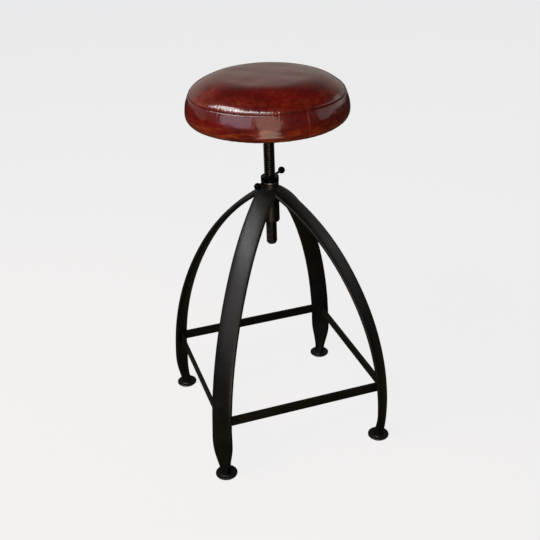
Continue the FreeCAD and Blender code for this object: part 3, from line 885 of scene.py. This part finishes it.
def glazed_hide(name):
    """Aniline-dyed hide: transparent dark dye, mottled and streaked, under a clear glaze."""
    material, tree = new_material(name)
    place = add_node(tree, "ShaderNodeTexCoord")
    flat = add_node(tree, "ShaderNodeMapping", {"Vector": place.outputs["Object"], "Scale": (1.0, 1.0, 2.4)})
    clouds = add_node(tree, "ShaderNodeTexNoise", {"Vector": place.outputs["Object"], "Scale": 1 / 0.055,
                                                   "Detail": 5.0, "Roughness": 0.6})
    streaks = add_node(tree, "ShaderNodeTexNoise", {"Vector": flat.outputs[0], "Scale": 1 / 0.012,
                                                    "Detail": 6.0, "Roughness": 0.65, "Distortion": 0.6})
    both = add_node(tree, "ShaderNodeMath", {0: clouds.outputs["Fac"], 1: streaks.outputs["Fac"]},
                    operation="ADD")
    mean = add_node(tree, "ShaderNodeMath", {0: both.outputs[0], 1: 0.5}, operation="MULTIPLY")
    dye = add_node(tree, "ShaderNodeValToRGB", {0: mean.outputs[0]},
                   stops=[(0.36, "#2e0200"), (0.47, "#410301"), (0.57, "#4d0502"), (0.70, "#5e1205")])
    worn = add_node(tree, "ShaderNodeAttribute", attribute_name="wear")
    patchy = add_node(tree, "ShaderNodeMapRange", {"Value": streaks.outputs["Fac"], "From Min": 0.38,
                                                   "From Max": 0.62, "To Min": 0.15, "To Max": 1.0})
    rubbed = add_node(tree, "ShaderNodeMath", {0: worn.outputs["Fac"], 1: patchy.outputs[0]},
                      operation="MULTIPLY", use_clamp=True)
    tone = add_node(tree, "ShaderNodeMix", {"Factor": rubbed.outputs[0], 6: dye.outputs[0],
                                            7: linear("#8e3a17")}, data_type="RGBA")
    pores = add_node(tree, "ShaderNodeTexVoronoi", {"Vector": place.outputs["Object"], "Scale": 1 / 0.0011})
    creases = add_node(tree, "ShaderNodeTexNoise", {"Vector": place.outputs["Object"], "Scale": 1 / 0.006,
                                                    "Detail": 4.0, "Roughness": 0.7})
    relief = add_node(tree, "ShaderNodeMath", {0: creases.outputs["Fac"], 1: pores.outputs["Distance"],
                                               2: creases.outputs["Fac"]}, operation="MULTIPLY_ADD")
    grain = add_node(tree, "ShaderNodeBump", {"Height": relief.outputs[0], "Strength": 0.10,
                                              "Distance": 0.0004})
    glaze_bump = add_node(tree, "ShaderNodeBump", {"Height": creases.outputs["Fac"], "Strength": 0.10,
                                                   "Distance": 0.0005})
    rough = add_node(tree, "ShaderNodeMapRange", {"Value": clouds.outputs["Fac"], "From Min": 0.3,
                                                  "From Max": 0.7, "To Min": 0.34, "To Max": 0.46})
    body = add_node(tree, "ShaderNodeBsdfPrincipled", {"Base Color": tone.outputs[2],
                    "Roughness": rough.outputs[0], "IOR": 1.5, "Specular IOR Level": 0.1,
                    "Coat Weight": 1.0, "Coat Roughness": 0.13, "Coat IOR": 1.5,
                    "Normal": grain.outputs[0], "Coat Normal": glaze_bump.outputs[0]})
    add_node(tree, "ShaderNodeOutputMaterial", {"Surface": body.outputs[0]})
    return material


hide = glazed_hide("glazed_aniline_hide")
top_panel = link_object("leather_top_panel", revolve_closed("leather_top_panel", top_loop, leather_steps,
                                                            top_lift, top_wear), [hide])
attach(top_panel, "seat")
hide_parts("leather_top")


# Leather band. A straight strip of the same hide round the side, its ends joined in a short
# upright seam at the front, its hem pleated where it turns under the board. It has drawn
# into a few upright folds at the right, and its lower half is rubbed lighter.
join_angle = math.radians(-80.5)
join_half_width = 0.0007
join_depth = 0.0007
lap_width = 0.006
lap_height_right = 0.0004
lap_height_left = 0.00015
fold_angle = math.radians(-39)
fold_spread = math.radians(11)
fold_depth = 0.00042
fold_wave = 0.0013
pleat_depth = 0.0007
pleat_reach = 0.016
hem_width = 0.024
hem_rows = 7
band_tautness = 0.4
band_slack = 0.0003
band_seam_fade = 0.006


def band_outline():
    """Outer face from the hem's inner end, out under the board, up the side and into the seam."""
    start = seat_radius - corner_radius
    hem = [(start - hem_width * (1 - step / hem_rows), seat_bottom) for step in range(hem_rows)]
    return hem + past_seam(side_outline(42), edge_roll) + tuck(-1)[::-1]


band_line = band_outline()
band_loop, band_lengths = sheet_loop(band_line, hide_thickness, inner_face_step)
band_seam_length = band_lengths[len(band_line) - len(rolled_edge)]
hem_length = band_lengths[hem_rows]


def up_the_side(length):
    """Share of the way from the hem's fold up to the seam."""
    return min(max((length - hem_length) / (band_seam_length - hem_length), 0.0), 1.0)


def beside_join(turn):
    """Distance round the seat from the join, to the right where it is positive."""
    return ((turn - join_angle + math.pi) % (2 * math.pi) - math.pi) * seat_radius


def join_lift(turn):
    """The sewn groove of the join, and the turned-in leather standing up on both sides of it."""
    beside = beside_join(turn)
    lap_height = lap_height_right if beside > 0 else lap_height_left
    groove = join_depth * math.exp(-(beside / join_half_width) ** 2)
    return lap_height * math.exp(-(beside / lap_width) ** 2) - groove


def upright_folds(length, turn, share):
    """Short upright folds at the right, strongest at half the band's height."""
    if share <= 0:
        return 0.0
    near = math.exp(-(angle_from(turn, fold_angle) / fold_spread) ** 2)
    wander = 2.5 * round_noise(turn, length, 0.02, 0.03, 67.0)
    height = math.sin(math.pi * min(share * 1.05, 1.0)) ** 0.5
    return fold_depth * near * math.sin(turn * seam_radius / fold_wave + wander) * height


def band_lift(length, turn):
    away = band_seam_length - length
    if away < 0:
        return 0.0
    share = up_the_side(length)
    edge = min(away / band_seam_fade, 1.0)
    swell = band_tautness * swell_at(side_swell, share, turn) * edge * min(share * 5, 1.0)
    slack = band_slack * round_noise(turn, length, 0.05, 0.03, 61.0) * edge * min(share * 4, 1.0)
    join = join_lift(turn) * min(share * 8, 1.0) * edge
    under = max(1 - abs(length - hem_length) / pleat_reach, 0.0)
    pleats = pleat_depth * under * round_noise(turn, 0.0, 0.007, 1.0, 73.0)
    return swell + slack + upright_folds(length, turn, share) + join + pleats + 0.8 * pucker(turn, away)


def band_wear(length, turn):
    """Lighter in streaks along the lower half and at the join's raw edge."""
    low = math.exp(-((up_the_side(length) - 0.30) / 0.26) ** 2)
    streak = 0.45 + 0.9 * round_noise(turn, length, 0.03, 0.006, 83.0)
    raw = 0.9 * math.exp(-(beside_join(turn) / join_half_width) ** 2)
    return min(max(low * min(max(streak, 0), 1), raw), 1.0)


band = link_object("leather_side_band", revolve_closed("leather_side_band", band_loop, leather_steps,
                                                       band_lift, band_wear), [hide])
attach(band, "seat")
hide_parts("leather_band")


# Seam thread. Waxed dark brown polyester, a stitch every 3.5 mm, seen only down in the seam.
stitch_pitch = 0.0035
stitch_length = 0.0027
stitch_radius = 0.0003
stitch_depth = 0.0021


def seam_thread(name):
    material, tree = new_material(name)
    place = add_node(tree, "ShaderNodeTexCoord")
    ply = add_node(tree, "ShaderNodeTexNoise", {"Vector": place.outputs["Object"], "Scale": 1 / 0.0003,
                                                "Detail": 2.0})
    tone = add_node(tree, "ShaderNodeMix", {"Factor": ply.outputs["Fac"], 6: linear("#1c0b07"),
                                            7: linear("#3a1a10")}, data_type="RGBA")
    bump = add_node(tree, "ShaderNodeBump", {"Height": ply.outputs["Fac"], "Strength": 0.3,
                                             "Distance": 0.0001})
    body = add_node(tree, "ShaderNodeBsdfPrincipled", {"Base Color": tone.outputs[2], "Roughness": 0.6,
                    "IOR": 1.5, "Normal": bump.outputs[0]})
    add_node(tree, "ShaderNodeOutputMaterial", {"Surface": body.outputs[0]})
    return material


def stitch_tree(material):
    """Short thread bars set end to end round a circle."""
    tree, given = new_tree("stitches", [("Radius", "NodeSocketFloat"), ("Height", "NodeSocketFloat"),
                                        ("Count", "NodeSocketInt"), ("Length", "NodeSocketFloat"),
                                        ("Thickness", "NodeSocketFloat")])
    ring = add_node(tree, "GeometryNodeCurvePrimitiveCircle", {"Resolution": given.outputs["Count"],
                                                              "Radius": given.outputs["Radius"]})
    rise = add_node(tree, "ShaderNodeCombineXYZ", {"Z": given.outputs["Height"]})
    placed = add_node(tree, "GeometryNodeTransform", {"Geometry": ring.outputs[0],
                                                      "Translation": rise.outputs[0]})
    along = add_node(tree, "GeometryNodeInputTangent")
    turn = add_node(tree, "FunctionNodeAlignRotationToVector", {"Vector": along.outputs[0]}, axis="Z")
    bar = add_node(tree, "GeometryNodeMeshCylinder", {"Vertices": 6, "Side Segments": 1, "Fill Segments": 1,
                                                      "Radius": given.outputs["Thickness"],
                                                      "Depth": given.outputs["Length"]})
    set_out = add_node(tree, "GeometryNodeInstanceOnPoints", {"Points": placed.outputs[0],
                       "Instance": bar.outputs["Mesh"], "Rotation": turn.outputs[0]})
    end_tree(tree, set_out.outputs[0], material)
    return tree


def stitches():
    out, up = seam_normal()
    radius = seam_radius - out * stitch_depth
    seed = link_object("stitch_seed", bpy.data.meshes.new("stitch_seed"))
    mesh = grow(seed, stitch_tree(seam_thread("waxed_polyester_thread")), {
        "Radius": radius, "Height": seam_height - up * stitch_depth,
        "Count": round(2 * math.pi * radius / stitch_pitch), "Length": stitch_length,
        "Thickness": stitch_radius})
    bpy.data.objects.remove(seed)
    return mesh


seam_stitches = link_object("seam_stitches", stitches())
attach(seam_stitches, "seat")


# Dust cover and staples. Black spun-bonded cloth under the seat, held with the hem by twenty
# wire staples.
def spun_cloth(name):
    material, tree = new_material(name)
    place = add_node(tree, "ShaderNodeTexCoord")
    fibres = add_node(tree, "ShaderNodeTexNoise", {"Vector": place.outputs["Object"], "Scale": 1 / 0.0009,
                                                   "Detail": 6.0, "Roughness": 0.75, "Distortion": 1.2})
    tone = add_node(tree, "ShaderNodeMix", {"Factor": fibres.outputs["Fac"], 6: linear("#0e0e0e"),
                                            7: linear("#2b2b2a")}, data_type="RGBA")
    bump = add_node(tree, "ShaderNodeBump", {"Height": fibres.outputs["Fac"], "Strength": 0.5,
                                             "Distance": 0.0002})
    body = add_node(tree, "ShaderNodeBsdfPrincipled", {"Base Color": tone.outputs[2], "Roughness": 0.85,
                    "IOR": 1.5, "Normal": bump.outputs[0]})
    add_node(tree, "ShaderNodeOutputMaterial", {"Surface": body.outputs[0]})
    return material


finish_nodes(spun_cloth("spun_bonded_polypropylene"), "dust_cover")
finish_nodes(zinc_plate, "cover_staples")
